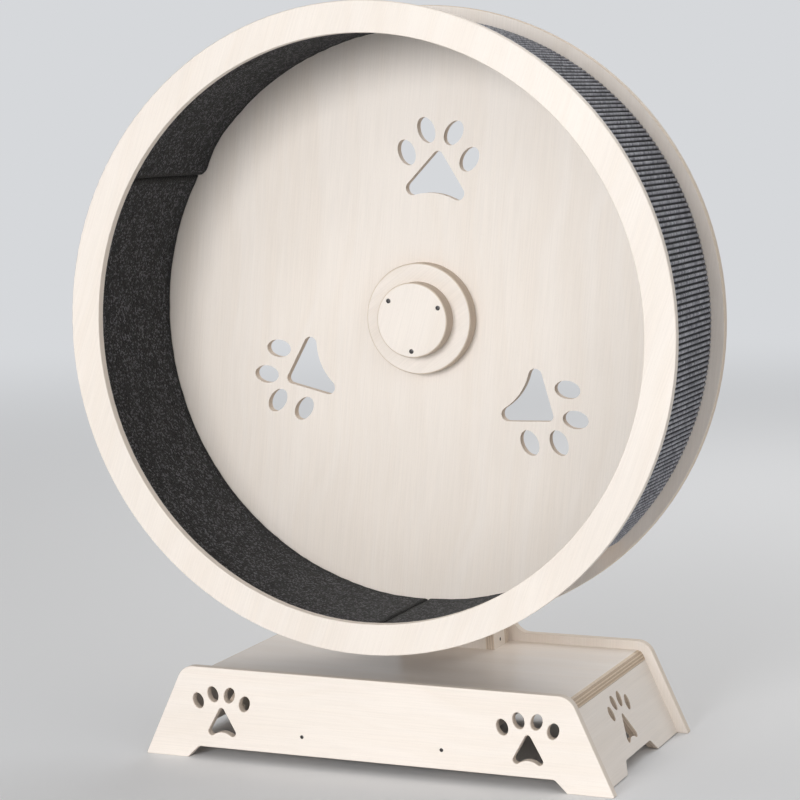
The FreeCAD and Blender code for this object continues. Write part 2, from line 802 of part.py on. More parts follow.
def save_base():
    save(make_front_board(), "front_board")
    save(make_rear_board(), "rear_board")
    save(make_deck(), "deck")
    save(make_end_board(-1), "left_end_board")
    save(make_end_board(1), "right_end_board")
    save(make_stretcher(-1), "left_stretcher")
    save(make_stretcher(1), "right_stretcher")
    save(group(stretcher_screws(front_board_front, rearward)), "front_stretcher_screws")
    save(group(stretcher_screws(rear_board_rear, -rearward)), "rear_stretcher_screws")
    save(group(dowels(front_board_rear, rearward)), "front_dowels")
    save(group(dowels(rear_board_front, -rearward)), "rear_dowels")


# Post: a tapered box on the deck that carries the axle together with the rear board's column

side_run = ply * math.sqrt(1 + column_taper ** 2)    # level thickness of the leaning sides


def post_half_width(z):
    return post_foot_width / 2 - (z - deck_height) * column_taper


def tapered_board(z_start, z_end, inset, y_start, y_end):
    # Level at top and bottom, this much inside the post's outline on each side.
    right = [(post_half_width(z_start) - inset, z_start, 0),
             (post_half_width(z_end) - inset, z_end, 0)]
    return board(rounded_outline(mirrored(right)), y_start, y_end)


def make_post_side(side):
    z_end = post_top - ply
    low, high = post_half_width(deck_height), post_half_width(z_end)
    corners = [(side * (low - side_run), deck_height, 0), (side * low, deck_height, 0),
               (side * high, z_end, 0), (side * (high - side_run), z_end, 0)]
    panel = board(rounded_outline(corners), post_front, post_back_front)
    return panel.cut(post_screw_holes())


def post_screw_seats():
    z = deck_height + post_screw_z
    x = post_half_width(z) - post_screw_head_height
    return [(side, Vector(side * x, post_front + post_screw_y, z)) for side in (-1, 1)]


def post_screw_holes():
    return [screw_hole(across * -side, seat, post_screw_head, 2 * post_screw_head_height,
                       post_screw_shank, post_screw_length)
            for side, seat in post_screw_seats()]


def block_screw_seats():
    z = deck_underside + block_screw_head_height
    return [Vector(side * block_screw_x, y, z) for side in (-1, 1)
            for y in (post_inner_front + block_screw_inset, post_back_front - block_screw_inset)]


def block_screw_holes():
    return [screw_hole(up, seat, block_screw_head, block_screw_head_height, block_screw_shank,
                       block_screw_length) for seat in block_screw_seats()]


def make_foot_block():
    block = tapered_board(deck_height, deck_height + foot_block_height, side_run,
                          post_inner_front, post_back_front)
    return block.cut(block_screw_holes() + post_screw_holes())


def make_post_front():
    panel = tapered_board(deck_height, post_top - ply, side_run, post_front, post_inner_front)
    return panel.cut([axle_hole(post_front, post_inner_front)] + flange_screw_holes())


def make_post_back():
    panel = tapered_board(deck_height, post_top, 0, post_back_front, packer_front)
    return panel.cut([axle_hole(post_back_front, packer_front)]
                     + column_bolt_holes(post_back_front, packer_front))


def make_packer():
    packer = tapered_board(deck_height, post_top, packer_inset, packer_front, rear_board_front)
    return packer.cut([axle_hole(packer_front, rear_board_front)]
                      + column_bolt_holes(packer_front, rear_board_front))


def save_post():
    save(make_post_front(), "post_front_panel")
    save(make_post_side(-1), "post_left_side")
    save(make_post_side(1), "post_right_side")
    save(make_post_back(), "post_back_panel")
    save(tapered_board(post_top - ply, post_top, 0, post_front, post_back_front),
         "post_top_panel")
    save(make_packer(), "column_packer")
    save(make_foot_block(), "post_foot_block")
    save(group([screw(across * -side, seat, post_screw_head, post_screw_head_height,
                      post_screw_shank, post_screw_length)
                for side, seat in post_screw_seats()]), "post_foot_screws")
    save(group([screw(up, seat, block_screw_head, block_screw_head_height, block_screw_shank,
                      block_screw_length) for seat in block_screw_seats()]),
         "foot_block_screws")
    nut_front = post_back_front - column_nut_height
    bolt_length = rear_board_rear - nut_front + column_bolt_tip
    bolts = [screw(-rearward, Vector(x, rear_board_rear, z), column_bolt_head,
                   column_bolt_head_height, column_bolt_shank, bolt_length, pointed=False)
             for x, z in column_bolt_places()]
    save(group(bolts), "column_bolts")
    save(group([nut(column_nut_flats, column_nut_height, column_bolt_shank + 2 * pin_gap, x,
                    nut_front, z) for x, z in column_bolt_places()]), "column_nuts")


os.makedirs("parts", exist_ok=True)
save(make_front_ring(), "front_ring")
save(make_back_disc(), "back_disc")
save_drum()
save(make_hub_flange(), "hub_flange")
save(make_hub_cap(), "hub_cap")
save(make_hub_rear_plate(), "hub_rear_plate")
save_hub_fasteners()
save_bearing("front_bearing", hub_flange_front)
save_bearing("rear_bearing", rear_bearing_front)
save_axle_parts()
save_base()
save_post()
print("overall", wheel_diameter, overall_depth, axle_height + wheel_radius)
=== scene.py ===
import json
import math
import bpy
import bmesh
import numpy as np
from mathutils import Matrix, Vector


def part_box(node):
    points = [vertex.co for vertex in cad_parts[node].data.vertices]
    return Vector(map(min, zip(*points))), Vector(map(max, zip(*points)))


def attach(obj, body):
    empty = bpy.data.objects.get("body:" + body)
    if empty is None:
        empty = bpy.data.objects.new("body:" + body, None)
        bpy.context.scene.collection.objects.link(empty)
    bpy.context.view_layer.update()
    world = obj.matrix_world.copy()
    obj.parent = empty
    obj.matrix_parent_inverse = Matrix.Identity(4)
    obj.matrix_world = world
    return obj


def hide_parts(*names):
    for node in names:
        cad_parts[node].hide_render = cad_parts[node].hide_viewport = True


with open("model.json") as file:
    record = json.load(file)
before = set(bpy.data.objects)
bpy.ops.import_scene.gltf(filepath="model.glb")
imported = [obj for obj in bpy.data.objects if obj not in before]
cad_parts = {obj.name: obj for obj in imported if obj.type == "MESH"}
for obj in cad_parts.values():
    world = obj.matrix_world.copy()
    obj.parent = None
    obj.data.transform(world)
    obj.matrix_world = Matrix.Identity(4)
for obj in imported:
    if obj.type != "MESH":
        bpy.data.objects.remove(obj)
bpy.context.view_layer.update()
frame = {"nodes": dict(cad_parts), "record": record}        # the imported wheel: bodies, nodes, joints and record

axleHeight = (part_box("axle")[0].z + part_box("axle")[1].z) / 2
print("frame loaded:", len(frame["nodes"]), "nodes")


# Node helpers. A value handed to one is a number, a colour or another node's socket.
def plug(tree, socket, value):
    if isinstance(value, bpy.types.NodeSocket):
        tree.links.new(value, socket)
    else:
        socket.default_value = value


def calc(tree, operation, *values, clamp=False):
    node = tree.nodes.new("ShaderNodeMath")
    node.operation = operation
    node.use_clamp = clamp
    for socket, value in zip(node.inputs, values):
        plug(tree, socket, value)
    return node.outputs[0]


def times(tree, first, second):
    return calc(tree, "MULTIPLY", first, second)


def plus(tree, first, second, clamp=False):
    return calc(tree, "ADD", first, second, clamp=clamp)


def minus(tree, first, second):
    return calc(tree, "SUBTRACT", first, second)


def fromMiddle(tree, value):    # 0 to 1 becomes -0.5 to 0.5
    return minus(tree, value, 0.5)


def ramp(tree, value, low, high, to=(0.0, 1.0)):    # eases from to[0] at low to to[1] at high
    node = tree.nodes.new("ShaderNodeMapRange")
    node.interpolation_type = "SMOOTHSTEP"
    for name, given in (("Value", value), ("From Min", low), ("From Max", high),
                        ("To Min", to[0]), ("To Max", to[1])):
        plug(tree, node.inputs[name], given)
    return node.outputs["Result"]


def stack(tree, x, y, z=0.0):
    node = tree.nodes.new("ShaderNodeCombineXYZ")
    for socket, value in zip(node.inputs, (x, y, z)):
        plug(tree, socket, value)
    return node.outputs[0]


def unstack(tree, point):
    node = tree.nodes.new("ShaderNodeSeparateXYZ")
    plug(tree, node.inputs[0], point)
    return node.outputs


def stretched(tree, u, v, t, scales):    # a point for a pattern, each way at its own scale
    return stack(tree, *[times(tree, way, scale) for way, scale in zip((u, v, t), scales)])


def noise(tree, point, scale=1.0, detail=2.0, roughness=0.5):
    node = tree.nodes.new("ShaderNodeTexNoise")
    plug(tree, node.inputs["Vector"], point)
    for name, given in (("Scale", scale), ("Detail", detail), ("Roughness", roughness)):
        plug(tree, node.inputs[name], given)
    return node.outputs["Fac"]


def cells(tree, point, scale, spread):    # distance to a cell's middle, and two numbers of its own
    node = tree.nodes.new("ShaderNodeTexVoronoi")
    plug(tree, node.inputs["Vector"], point)
    plug(tree, node.inputs["Scale"], scale)
    plug(tree, node.inputs["Randomness"], spread)
    part = tree.nodes.new("ShaderNodeSeparateColor")
    tree.links.new(node.outputs["Color"], part.inputs[0])
    return node.outputs["Distance"], part.outputs[0], part.outputs[1]


def chance(tree, point):    # one random number for each whole-numbered place
    node = tree.nodes.new("ShaderNodeTexWhiteNoise")
    node.noise_dimensions = "3D"
    plug(tree, node.inputs["Vector"], point)
    return node.outputs["Value"]


def blendColours(tree, share, first, second):
    node = tree.nodes.new("ShaderNodeMix")
    node.data_type = "RGBA"             # its colours are sockets 6 and 7
    plug(tree, node.inputs[0], share)
    plug(tree, node.inputs[6], first)
    plug(tree, node.inputs[7], second)
    return node.outputs[2]


def brighten(tree, colour, amount):    # times a number that differs from place to place
    node = tree.nodes.new("ShaderNodeVectorMath")
    node.operation = "SCALE"
    plug(tree, node.inputs[0], colour)
    plug(tree, node.inputs["Scale"], amount)
    return node.outputs[0]


def raised(tree, height, depth, strength):
    node = tree.nodes.new("ShaderNodeBump")
    plug(tree, node.inputs["Height"], height)
    node.inputs["Distance"].default_value = depth
    node.inputs["Strength"].default_value = strength
    return node.outputs["Normal"]


def paint(red, green, blue):    # a colour as a picture shows it, 0 to 255
    def straight(value):            # sRGB's own curve, undone
        value = value / 255
        return value / 12.92 if value <= 0.04045 else ((value + 0.055) / 1.055) ** 2.4
    return (straight(red), straight(green), straight(blue), 1.0)


def startFinish(name):
    finish = bpy.data.materials.new(name)
    finish.use_nodes = True
    tree = finish.node_tree
    tree.nodes.clear()
    shader = tree.nodes.new("ShaderNodeBsdfPrincipled")
    out = tree.nodes.new("ShaderNodeOutputMaterial")
    tree.links.new(shader.outputs["BSDF"], out.inputs["Surface"])
    return finish, tree, shader


def objectPoint(tree):
    return tree.nodes.new("ShaderNodeTexCoord").outputs["Object"]


def clothPoint(tree):    # a place on a flat cloth, in metres
    cloth = tree.nodes.new("ShaderNodeUVMap")
    cloth.uv_map = "cloth"
    return cloth.outputs["UV"]


def along(tree, point, way, start=0.0):    # how far a point lies along a direction
    node = tree.nodes.new("ShaderNodeVectorMath")
    node.operation = "DOT_PRODUCT"
    tree.links.new(point, node.inputs[0])
    node.inputs[1].default_value = way
    return minus(tree, node.outputs["Value"], start)


def dress(name, finish):
    mesh = frame["nodes"][name].data
    mesh.materials.clear()
    mesh.materials.append(finish)


# Mesh helpers.
def pointsOf(mesh):
    points = np.empty(len(mesh.vertices) * 3)
    mesh.vertices.foreach_get("co", points)
    return points.reshape(-1, 3)


def turnOutwards(mesh):
    shell = bmesh.new()
    shell.from_mesh(mesh)
    bmesh.ops.recalc_face_normals(shell, faces=shell.faces)
    shell.to_mesh(mesh)
    shell.free()
    mesh.polygons.foreach_set("use_smooth", [True] * len(mesh.polygons))


def placeInScene(name, data):
    thing = bpy.data.objects.new(name, data)
    bpy.context.scene.collection.objects.link(thing)
    return thing


def endTree(tree, shape, finish, out):    # each tree ends in a plain mesh with its finish
    real = tree.nodes.new("GeometryNodeRealizeInstances")
    tree.links.new(shape, real.inputs["Geometry"])
    coat = tree.nodes.new("GeometryNodeSetMaterial")
    tree.links.new(real.outputs["Geometry"], coat.inputs["Geometry"])
    plug(tree, coat.inputs["Material"], finish)
    tree.links.new(coat.outputs["Geometry"], out.inputs["Geometry"])


def grown(name, tree, inputs, seat=None):    # runs a node tree once and keeps the plain mesh
    base = seat or bpy.data.meshes.new(name + ".seed")
    holder = placeInScene(name, base)
    modifier = holder.modifiers.new("grow", "NODES")
    modifier.node_group = tree
    for identifier, value in inputs:
        modifier[identifier] = value
    graph = bpy.context.evaluated_depsgraph_get()
    mesh = bpy.data.meshes.new_from_object(holder.evaluated_get(graph))
    holder.modifiers.remove(modifier)
    holder.data = mesh
    mesh.name = name
    bpy.data.meshes.remove(base)
    return holder


# Birch plywood, as a solid: faces washed pale, and layers wherever the sheet is cut.
# A triple is a pattern's scale along the grain, across it and through the sheet.
plywood = {
    "layer": 0.00215,
    "skin": 0.00022,                        # how deep the washed face reaches
    "skinFade": (0.6, 1.6),                 # shares of that depth between which the cut begins
    "face": paint(250, 241, 232), "faceWarm": paint(241, 228, 214), "pore": paint(206, 186, 166),
    "bend": (2.2, 5.0, 0.0), "bendReach": 4.2,
    "figureAcross": 26.0, "figureAlong": 1.1,
    "figureFrom": (0.34, 0.70), "figureShare": 0.34,
    "streak": (9.0, 420.0, 40.0), "streakTone": (0.965, 1.015),
    "pores": (210.0, 2300.0, 0.0), "poresFrom": (0.63, 0.74), "poreShare": 0.20,
    "patch": 3.1, "patchTone": (0.965, 1.01),
    "longGrain": paint(226, 205, 178), "endGrain": paint(172, 140, 108),
    "turnedShare": 0.55,                    # how much darker every second layer is
    "ownPale": 0.35, "ownShare": 0.50,      # each layer's own tone
    "fibre": (130.0, 130.0, 1900.0), "fibreFrom": (0.28, 0.72), "fibreTone": (0.86, 1.08),
    "glue": paint(116, 86, 62), "glueFrom": (0.40, 0.49), "glueShare": 0.62,
    "washOnEdges": 0.40,
    "rough": (0.40, 0.50), "roughOnCut": 0.16,
    "wornReach": (0.0004, 0.0016), "wornShine": 0.10,
    "shine": 0.38, "bump": 0.00016, "bumpStrength": 0.55,
    "streakHeight": 0.5, "poreDepth": 0.5, "glueDepth": 0.6,
    "seedAcross": 0.37, "seedOfLayers": (10, 3.0),
}
middling, wide = (0.30, 0.70), (0.20, 0.80)    # between these, a noise has nearly all its values


def thinWay(node):    # the way a board is thin, where it starts, and how thick it is
    mesh = node.data
    count = len(mesh.polygons)
    areas = np.empty(count)
    normals = np.empty(count * 3)
    mesh.polygons.foreach_get("area", areas)
    mesh.polygons.foreach_get("normal", normals)
    normals = np.round(normals.reshape(-1, 3), 3)
    lead = normals[np.arange(count), np.abs(normals).argmax(1)]
    normals *= np.where(lead < 0, -1.0, 1.0)[:, None]
    ways, which = np.unique(normals, axis=0, return_inverse=True)
    way = ways[np.bincount(which.ravel(), weights=areas).argmax()]
    way = way / np.linalg.norm(way)
    depth = pointsOf(mesh) @ way
    return Vector(way), float(depth.min()), float(depth.max() - depth.min())


def makePlywood(name, grain, tone, seed):
    way, start, thickness = thinWay(frame["nodes"][name])
    run = Vector(grain) - Vector(grain).dot(way) * way
    run.normalize()
    finish, tree, shader = startFinish("birchPlywood." + name)
    point = objectPoint(tree)
    u = plus(tree, along(tree, point, run), seed)
    v = plus(tree, along(tree, point, way.cross(run)), seed * plywood["seedAcross"])
    t = along(tree, point, way, start)

    # the washed face: a slow figure, streaks along the grain and short pores
    bend = noise(tree, stretched(tree, u, v, t, plywood["bend"]))
    wave = plus(tree, times(tree, v, plywood["figureAcross"]),
                times(tree, bend, plywood["bendReach"]))
    figure = noise(tree, stack(tree, wave, times(tree, u, plywood["figureAlong"])),
                   detail=3.0, roughness=0.55)
    streak = noise(tree, stretched(tree, u, v, t, plywood["streak"]), detail=3.0, roughness=0.6)
    pore = noise(tree, stretched(tree, u, v, t, plywood["pores"]), detail=1.0)
    patch = noise(tree, point, plywood["patch"])
    pores = ramp(tree, pore, *plywood["poresFrom"])
    warm = ramp(tree, figure, *plywood["figureFrom"], (0.0, plywood["figureShare"]))
    face = blendColours(tree, warm, plywood["face"], plywood["faceWarm"])
    face = blendColours(tree, times(tree, pores, plywood["poreShare"]), face, plywood["pore"])
    # painted light and shade: the board's tone scales its face here and its cut edge below
    patchToneAndPaintedLight = [share * tone for share in plywood["patchTone"]]
    face = brighten(tree, face, times(tree, ramp(tree, streak, *middling, plywood["streakTone"]),
                                      ramp(tree, patch, *middling, patchToneAndPaintedLight)))

    # the cut edge: layers with their grain turned by turns, and thin dark glue
    layers = max(3, 2 * round(thickness / plywood["layer"] / 2 - 0.5) + 1)
    level = times(tree, t, layers / thickness)
    index = calc(tree, "FLOOR", level)
    turned = calc(tree, "MODULO", index, 2.0)
    step, first = plywood["seedOfLayers"]
    ownTone = chance(tree, stack(tree, index, seed * step + first))
    fibre = noise(tree, stretched(tree, u, v, t, plywood["fibre"]), roughness=0.6)
    dark = plus(tree, times(tree, turned, plywood["turnedShare"]),
                times(tree, minus(tree, ownTone, plywood["ownPale"]), plywood["ownShare"]),
                clamp=True)
    edge = blendColours(tree, dark, plywood["longGrain"], plywood["endGrain"])
    edge = brighten(tree, edge, ramp(tree, fibre, *plywood["fibreFrom"], plywood["fibreTone"]))
    fromCore = calc(tree, "ABSOLUTE", fromMiddle(tree, calc(tree, "FRACT", level)))
    nearGlue = ramp(tree, fromCore, *plywood["glueFrom"])
    edge = blendColours(tree, times(tree, nearGlue, plywood["glueShare"]), edge, plywood["glue"])
    edge = blendColours(tree, washedEdges.get(name, plywood["washOnEdges"]), edge, plywood["face"])
    # painted light and shade: the cut edge takes the board's tone too
    edge = brighten(tree, edge, tone)

    fromFace = calc(tree, "MINIMUM", t, minus(tree, thickness, t))
    cut = ramp(tree, fromFace, *[plywood["skin"] * share for share in plywood["skinFade"]])
    plug(tree, shader.inputs["Base Color"], blendColours(tree, cut, face, edge))
    wear = ramp(tree, fromFace, *plywood["wornReach"], (plywood["wornShine"], 0.0))
    rough = plus(tree, ramp(tree, streak, *middling, plywood["rough"]),
                 times(tree, cut, plywood["roughOnCut"]))
    plug(tree, shader.inputs["Roughness"], minus(tree, rough, wear))
    height = minus(tree, times(tree, streak, plywood["streakHeight"]),
                   times(tree, pores, plywood["poreDepth"]))
    height = minus(tree, height, times(tree, times(tree, nearGlue, cut), plywood["glueDepth"]))
    plug(tree, shader.inputs["Normal"],
         raised(tree, height, plywood["bump"], plywood["bumpStrength"]))
    shader.inputs["Specular IOR Level"].default_value = plywood["shine"]
    dress(name, finish)


# boards that were washed on the cut too, and how thickly
washedEdges = {"front_ring": 0.86, "front_board": 0.72, "rear_board": 0.60, "deck": 0.10}
boards = {    # each board's grain, its tone (the wash's own paleness with painted light and shade, such as the back disc raised against the drum's shade), and where its figure is cut from
    "front_ring": ((0.34, 0, 0.94), 0.965, 0.0),
    "back_disc": ((0.10, 0, 1), 1.03, 1.3),
    "hub_flange": ((0.8, 0, 0.6), 1.01, 2.9),
    "hub_cap": ((0.3, 0, 1), 1.01, 4.1),
    "hub_rear_plate": ((1, 0, 0.2), 1.0, 5.7),
    "front_board": ((1, 0, 0), 0.99, 7.9),
    "rear_board": ((0, 0, 1), 0.96, 9.1),
    "left_end_board": ((0, 1, 0), 0.98, 11.3),
    "right_end_board": ((0, 1, 0), 0.98, 13.7),
    "deck": ((1, 0, 0), 0.97, 15.1),
    "left_stretcher": ((0, 1, 0), 0.96, 17.9),
    "right_stretcher": ((0, 1, 0), 0.96, 19.3),
    "post_front_panel": ((0, 0, 1), 0.98, 21.1),
    "post_back_panel": ((0, 0, 1), 0.98, 23.9),
    "post_left_side": ((0, 0, 1), 0.98, 25.3),
    "post_right_side": ((0, 0, 1), 0.98, 27.7),
    "post_top_panel": ((1, 0, 0), 0.98, 29.1),
    "post_foot_block": ((1, 0, 0), 0.95, 31.9),
    "column_packer": ((0, 0, 1), 0.97, 33.1),
}
for board, (grain, tone, seed) in boards.items():
    makePlywood(board, grain, tone, seed)
print("boards:", len(boards), "in birch plywood")


# The drum's panels are thinner sheet, bent round, so their layers follow the axle.
bentSheet = {
    "layer": 0.00125, "radius": 0.47,
    "pale": paint(214, 190, 158), "dark": paint(158, 124, 92), "turnedShare": 0.7,
    "streak": (7.0, 300.0, 900.0), "streakTone": (0.88, 1.06),
    "glue": paint(110, 80, 58), "glueFrom": (0.42, 0.49), "glueShare": 0.6,
    "rough": (0.55, 0.68), "bump": 0.0002, "bumpStrength": 0.5,
}
drumPanels = ["drum_panel_top", "drum_panel_left", "drum_panel_right"]


def makeBentPlywood():
    finish, tree, shader = startFinish("bentPlywood")
    point = objectPoint(tree)
    x = along(tree, point, (1, 0, 0))
    y = along(tree, point, (0, 1, 0))
    z = along(tree, point, (0, 0, 1), axleHeight)
    radius = calc(tree, "SQRT", plus(tree, times(tree, x, x), times(tree, z, z)))
    turn = times(tree, calc(tree, "ARCTAN2", z, x), bentSheet["radius"])
    level = calc(tree, "DIVIDE", radius, bentSheet["layer"])
    turned = calc(tree, "MODULO", calc(tree, "FLOOR", level), 2.0)
    streak = noise(tree, stretched(tree, y, turn, radius, bentSheet["streak"]),
                   detail=3.0, roughness=0.6)
    colour = blendColours(tree, times(tree, turned, bentSheet["turnedShare"]),
                          bentSheet["pale"], bentSheet["dark"])
    colour = brighten(tree, colour, ramp(tree, streak, *middling, bentSheet["streakTone"]))
    fromCore = calc(tree, "ABSOLUTE", fromMiddle(tree, calc(tree, "FRACT", level)))
    nearGlue = ramp(tree, fromCore, *bentSheet["glueFrom"])
    plug(tree, shader.inputs["Base Color"],
         blendColours(tree, times(tree, nearGlue, bentSheet["glueShare"]), colour,
                      bentSheet["glue"]))
    plug(tree, shader.inputs["Roughness"], ramp(tree, streak, *middling, bentSheet["rough"]))
    plug(tree, shader.inputs["Normal"],
         raised(tree, streak, bentSheet["bump"], bentSheet["bumpStrength"]))
    return finish


bentPlywood = makeBentPlywood()
for panel in drumPanels:
    dress(panel, bentPlywood)
print("drum panels: bent plywood")


# Metals, rubber, nylon and dowel wood, each with its own small marks.
hardware = {
    "zincSteel": {"pale": paint(196, 200, 206), "dark": paint(150, 154, 160), "metal": 1.0,
                  "rough": (0.26, 0.42), "size": 900.0, "bump": 0.00004},
    "bearingSteel": {"pale": paint(206, 208, 211), "dark": paint(172, 175, 180), "metal": 1.0,
                     "rough": (0.12, 0.22), "size": 1600.0, "bump": 0.00001},
    "sealRubber": {"pale": paint(46, 46, 48), "dark": paint(30, 30, 32), "metal": 0.0,
                   "rough": (0.62, 0.80), "size": 2200.0, "bump": 0.00004},
    "cageNylon": {"pale": paint(222, 214, 190), "dark": paint(206, 196, 168), "metal": 0.0,
                  "rough": (0.36, 0.50), "size": 700.0, "bump": 0.00003},
    "insertBrass": {"pale": paint(214, 184, 112), "dark": paint(176, 142, 78), "metal": 1.0,
                    "rough": (0.24, 0.38), "size": 1200.0, "bump": 0.00003},
    "darkSteel": {"pale": paint(92, 90, 90), "dark": paint(58, 56, 56), "metal": 1.0,
                  "rough": (0.28, 0.44), "size": 900.0, "bump": 0.00004},
    "beechDowel": {"pale": paint(206, 170, 130), "dark": paint(176, 136, 98), "metal": 0.0,
                   "rough": (0.55, 0.70), "size": 500.0, "bump": 0.00010},
}
marks = {"coarseSize": 0.12, "coarseShare": 0.6, "fineShare": 0.4, "tone": (0.35, 0.65),
         "bumpStrength": 0.6}


def makeHardware(name, look):
    finish, tree, shader = startFinish(name)
    point = objectPoint(tree)
    coarse = noise(tree, point, look["size"] * marks["coarseSize"], 3.0, 0.55)
    fine = noise(tree, point, look["size"], 2.0, 0.6)
    mixed = plus(tree, times(tree, coarse, marks["coarseShare"]),
                 times(tree, fine, marks["fineShare"]))
    plug(tree, shader.inputs["Base Color"],
         blendColours(tree, ramp(tree, mixed, *marks["tone"]), look["dark"], look["pale"]))
    plug(tree, shader.inputs["Roughness"], ramp(tree, mixed, *middling, look["rough"]))
    plug(tree, shader.inputs["Normal"], raised(tree, fine, look["bump"], marks["bumpStrength"]))
    shader.inputs["Metallic"].default_value = look["metal"]
    return finish


hardwareFinish = {name: makeHardware(name, look) for name, look in hardware.items()}
slotFinish = {"zinc_steel": "zincSteel", "bearing_steel": "bearingSteel",
              "seal_rubber": "sealRubber", "cage_nylon": "cageNylon",
              "insert_brass": "insertBrass", "beech": "beechDowel"}
fitted = 0
for subpart in frame["record"]["subparts"]:
    if subpart["material_slot"] in slotFinish:
        dress(subpart["node"], hardwareFinish[slotFinish[subpart["material_slot"]]])
        fitted += 1
print("hardware:", fitted, "nodes")


# The carpet inside the drum, in three lengths whose ends meet.
carpet = {
    "inner": 0.4637, "outer": 0.4694,       # from the axle, as the drum holds it
    "front": -0.2098, "back": 0.0398,
    "gap": 0.0024,
    "step": 0.0030, "endSteps": (0.0, 0.0004, 0.0009, 0.0016, 0.0026, 0.0042),
    "round": 0.0042, "sideRound": 0.6,      # how far a cut end rounds over, and a side's share
    "mostFall": 0.6,                        # share of the pile that the rounding takes at most
    "lumps": ((0.0004, 0.085), (0.00028, 0.024)),    # height and length of the pile's unevenness
    "lumpsFade": 0.001,
    "waves": 14, "waveLengths": (0.7, 1.5), "waveShift": 6.28, "waveHeight": 3.7,
    "firstSeed": 2, "seedStep": 5,
    "liftReach": 0.085, "liftCurve": 1.8,   # length over which an end rises from the drum
    "liftAtFront": 0.45, "liftFrom": 0.35, "liftOver": 0.6, "liftAcross": 1.3,
    "liftAtCut": 0.25, "bulge": 0.020,      # a lifted end turns back to the drum near its cut
}
carpetLengths = {    # node, panel behind it, first and last angle, each end's lift near the disc
    "running_carpet_top": ("running_liner_top", "drum_panel_top", 30.0, 150.0, 0.0012, 0.0130),
    "running_carpet_left": ("running_liner_left", "drum_panel_left", 150.0, 270.0, 0.0006, 0.0012),
    "running_carpet_right": ("running_liner_right", "drum_panel_right", 270.0, 390.0,
                             0.0022, 0.0008),
}
carpetRadius = (carpet["inner"] + carpet["outer"]) / 2
carpetWidth = carpet["back"] - carpet["front"]
carpetArc = math.radians(120) * carpetRadius - carpet["gap"]


def waves(u, v, length, seed):    # a smooth unevenness, the same on each run
    draw = np.random.default_rng(seed)
    total = np.zeros_like(u)
    for _ in range(carpet["waves"]):
        turn = draw.uniform(0, 2 * math.pi)
        size = 2 * math.pi / (length * draw.uniform(*carpet["waveLengths"]))
        total += np.sin(u * size * math.cos(turn) + v * size * math.sin(turn)
                        + draw.uniform(0, carpet["waveShift"]))
    return total / carpet["waveHeight"]


def spaced(length, step):    # places along a length, closer together at its two ends
    ends = np.array(carpet["endSteps"])
    middle = np.linspace(ends[-1], length - ends[-1], max(2, round(length / step)))
    return np.concatenate([ends[:-1], middle, length - ends[:-1][::-1]])


def rounding(place, length, size):    # how far a cut end falls away from the pile's top
    near = np.minimum(place, length - place)
    inside = np.clip(1 - near / size, 0, 1)
    return size * (1 - np.sqrt(np.clip(1 - inside ** 2, 0, 1)))


def risen(fromCut):    # share of an end's lift, this far from its cut
    return np.clip(1 - fromCut / carpet["liftReach"], 0, 1) ** carpet["liftCurve"]


def makeCarpet(name, node, panel, first, last, liftFirst, liftLast, seed):
    start = math.radians(first) + carpet["gap"] / 2 / carpetRadius
    arc = math.radians(last - first) * carpetRadius - carpet["gap"]
    width = carpetWidth
    u, v = np.meshgrid(spaced(arc, carpet["step"]), spaced(width, carpet["step"]), indexing="ij")
    thick = carpet["outer"] - carpet["inner"]
    fall = np.maximum(rounding(u, arc, carpet["round"]),
                      carpet["sideRound"] * rounding(v, width, carpet["round"]))
    lumps = sum(height * waves(u, v, length, seed + i)
                for i, (height, length) in enumerate(carpet["lumps"]))
    inwards = (thick - np.minimum(fall, thick * carpet["mostFall"])
               + lumps * np.clip(1 - fall / carpet["lumpsFade"], 0, 1))
    across = np.clip((v / width - carpet["liftFrom"]) / carpet["liftOver"], 0, 1)
    nearDisc = (carpet["liftAtFront"]
                + (1 - carpet["liftAtFront"]) * across ** carpet["liftAcross"])
    fromCut = np.clip(np.minimum(u, arc - u) / carpet["bulge"], 0, 1)
    atCut = carpet["liftAtCut"] + (1 - carpet["liftAtCut"]) * np.sin(fromCut * math.pi / 2)
    lift = (liftFirst * risen(u) + liftLast * risen(arc - u)) * nearDisc * atCut
    angle = start + u / carpetRadius
    sides = []
    for depth in (inwards + lift, lift):
        radius = carpet["outer"] - depth
        sides.append(np.stack([radius * np.cos(angle), carpet["front"] + v,
                               axleHeight + radius * np.sin(angle)], -1))

    # the top, the underside and the wall round their rims
    count = u.size
    top = np.arange(count).reshape(u.shape)
    under = top + count
    topFaces = [top[:-1, :-1], top[1:, :-1], top[1:, 1:], top[:-1, 1:]]
    underFaces = [under[:-1, :-1], under[:-1, 1:], under[1:, 1:], under[1:, :-1]]
    rim = np.concatenate([top[:, 0], top[-1, 1:], top[-2::-1, -1], top[0, -2:0:-1]])
    rimNext = np.roll(rim, -1)
    wallFaces = [rimNext, rim, rim + count, rimNext + count]
    faces = np.concatenate([np.stack(corners, -1).reshape(-1, 4)
                            for corners in (topFaces, underFaces, wallFaces)])
    points = np.concatenate([side.reshape(-1, 3) for side in sides])
    mesh = bpy.data.meshes.new(name)
    mesh.from_pydata(points.tolist(), [], faces.tolist())
    flat = np.concatenate([np.stack([u, v], -1).reshape(-1, 2)] * 2)
    corners = np.empty(len(mesh.loops), np.int32)
    mesh.loops.foreach_get("vertex_index", corners)
    cloth = mesh.uv_layers.new(name="cloth")
    cloth.data.foreach_set("uv", (flat[corners] + seed).astype(np.float32).ravel())
    turnOutwards(mesh)
    mesh.materials.append(carpetFinish)
    piece = placeInScene(name, mesh)
    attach(piece, "wheel")
    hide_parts(node)


